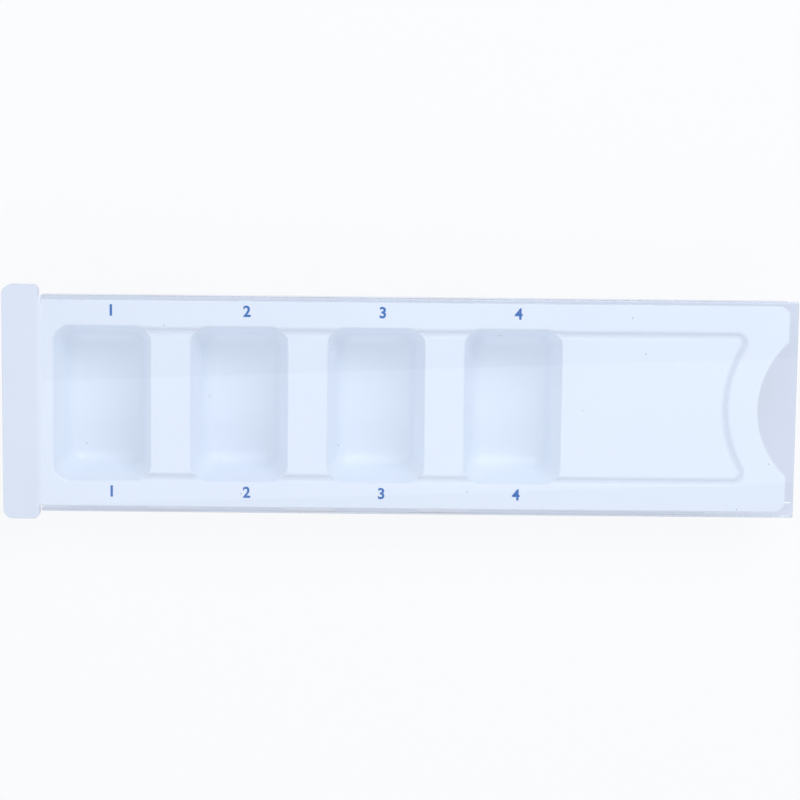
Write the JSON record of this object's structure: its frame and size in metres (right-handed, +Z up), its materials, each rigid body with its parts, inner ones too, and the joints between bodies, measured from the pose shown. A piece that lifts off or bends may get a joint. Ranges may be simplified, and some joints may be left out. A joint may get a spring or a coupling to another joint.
{
  "type": "daily pill organizer",
  "caption": "Flat white tray with scooped wells, a writing field, a thumb notch and a grip bar, under a clear rail-guided cover that slides off lengthwise.",
  "frame": {"origin": "middle of the closed dispenser's bounding box, at its underside", "axes": "+X along the tray from the grip bar to the thumb notch, the way the cover slides off; +Z up, out of the wells' mouths; +Y across"},
  "size_m": [0.18, 0.0536, 0.015],
  "materials": {
    "tray_plastic": "satin white moulding",
    "clear_plastic": "clear, polished"
  },
  "bodies": {
    "tray": {"compartment_tray": "tray_plastic"},
    "cover": {"sliding_cover": "clear_plastic"}
  },
  "joints": [
    {"name": "cover_slide", "type": "slide", "parent": "tray", "child": "cover", "axis": [1, 0, 0], "range_m": [0, 0.16]}
  ]
}
